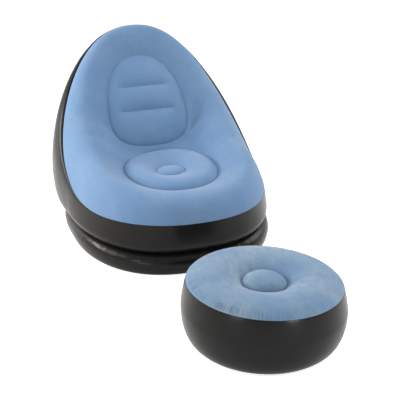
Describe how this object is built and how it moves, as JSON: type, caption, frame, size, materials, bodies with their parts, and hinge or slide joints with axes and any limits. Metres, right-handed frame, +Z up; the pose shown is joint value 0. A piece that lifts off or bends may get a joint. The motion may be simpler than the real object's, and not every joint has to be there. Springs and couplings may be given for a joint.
{
  "type": "inflatable chair",
  "caption": "Inflatable lounge chair with an egg-shaped flocked bucket top, a channelled back pad, stepped black vinyl walls and a round inflatable footstool.",
  "frame": {"origin": "middle of the chair's flat underside, on the floor", "axes": "+Z up, the chair faces -Y, its footstool stands in front of it on the -Y side"},
  "size_m": [0.9756, 1.9835, 0.8498],
  "materials": {
    "flocked_top": "short blue flock on vinyl sheet, soft sheen at grazing angles",
    "black_vinyl": "smooth black vinyl sheet, satin gloss",
    "inner_vinyl": "plain grey vinyl sheet inside the air chamber",
    "valve_plastic": "soft moulded dark grey vinyl"
  },
  "bodies": {
    "chair": {"top_panel": "flocked_top", "back_pad": "flocked_top", "seat_pad": "flocked_top", "seat_button": "flocked_top", "upper_side_wall": "black_vinyl", "base_side_wall": "black_vinyl", "partition_sheet": "inner_vinyl", "base_bottom_sheet": "black_vinyl", "seat_tie_tube": "inner_vinyl", "base_tie_tube": "inner_vinyl", "back_liner": "inner_vinyl", "back_web_lower": "inner_vinyl", "back_web_upper": "inner_vinyl", "back_tie_lower": "inner_vinyl", "back_tie_upper": "inner_vinyl", "valve_seat": "valve_plastic"},
    "stool": {"stool_top_panel": "flocked_top", "stool_button": "flocked_top", "stool_side_wall": "black_vinyl", "stool_bottom_sheet": "black_vinyl", "stool_tie_tube": "inner_vinyl", "stool_valve_seat": "valve_plastic"},
    "plug": {"valve_plug": "valve_plastic"},
    "cap": {"valve_cap": "valve_plastic"},
    "flap": {"valve_flap": "valve_plastic"},
    "stool_plug": {"stool_valve_plug": "valve_plastic"},
    "stool_cap": {"stool_valve_cap": "valve_plastic"},
    "stool_flap": {"stool_valve_flap": "valve_plastic"}
  },
  "joints": [
    {"name": "stool_slide", "type": "slide", "parent": "chair", "child": "stool", "axis": [0, 1, 0], "range_m": [-0.3, 0.12]},
    {"name": "valve_plug_pull", "type": "slide", "parent": "chair", "child": "plug", "axis": [0.1671, 0.8959, -0.4116], "range_m": [0, 0.018]},
    {"name": "valve_cap_hinge", "type": "hinge", "parent": "plug", "child": "cap", "pos_m": [0.1628, 0.60207, 0.20483], "axis": [-0.9831, 0.1833, 0], "range_deg": [0, 115]},
    {"name": "valve_flap_hinge", "type": "hinge", "parent": "plug", "child": "flap", "pos_m": [0.15942, 0.58392, 0.22227], "axis": [0.9831, -0.1833, 0], "range_deg": [0, 40]},
    {"name": "stool_valve_plug_pull", "type": "slide", "parent": "stool", "child": "stool_plug", "axis": [-0.0957, 0.9927, 0.0733], "range_m": [0, 0.018]},
    {"name": "stool_valve_cap_hinge", "type": "hinge", "parent": "stool_plug", "child": "stool_cap", "pos_m": [0.02765, -0.68471, 0.10828], "axis": [-0.9954, -0.096, 0], "range_deg": [0, 115]},
    {"name": "stool_valve_flap_hinge", "type": "hinge", "parent": "stool_plug", "child": "stool_flap", "pos_m": [0.03001, -0.70914, 0.1148], "axis": [0.9954, 0.096, 0], "range_deg": [0, 40]}
  ]
}
